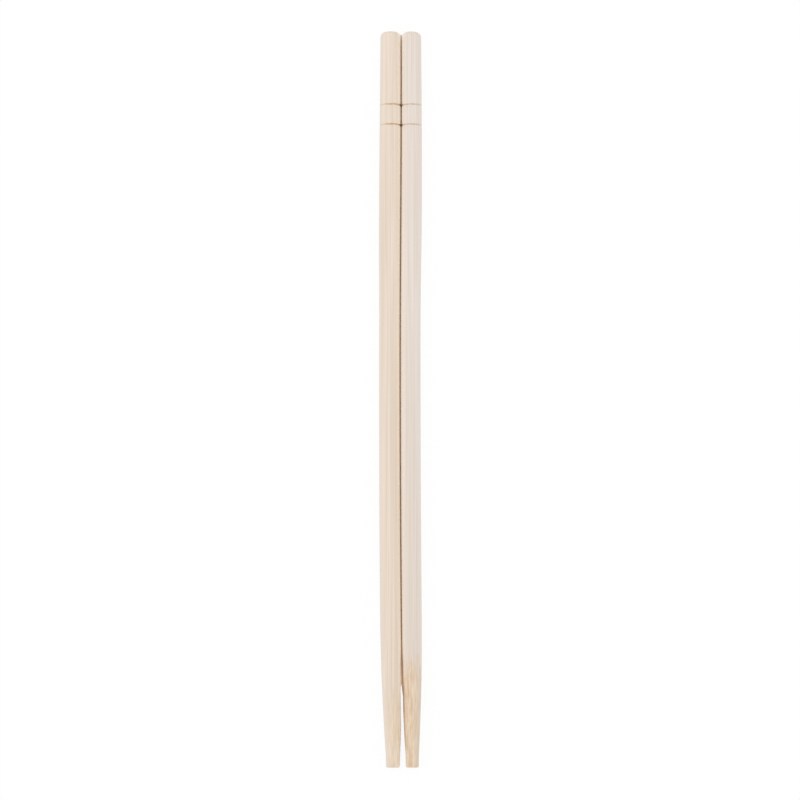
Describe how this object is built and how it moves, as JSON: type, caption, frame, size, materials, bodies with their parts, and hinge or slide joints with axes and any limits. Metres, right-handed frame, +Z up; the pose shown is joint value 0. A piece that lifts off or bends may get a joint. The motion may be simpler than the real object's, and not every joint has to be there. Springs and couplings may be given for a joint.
{
  "type": "pair of disposable chopsticks",
  "caption": "Joined round bamboo chopsticks: tapered split tips, scored rings near the heads and a thin web to snap before eating.",
  "frame": {"origin": "on the table, under the middle of the pair's bounding box", "axes": "+Y along the pair towards the blunt heads, +X across it from stick to stick, +Z up from the table"},
  "size_m": [0.0122, 0.21, 0.0062],
  "materials": {
    "bamboo": "bare planed bamboo, matt, with fine straight grain"
  },
  "bodies": {
    "root": {"joined_chopsticks": "bamboo"}
  },
  "joints": []
}
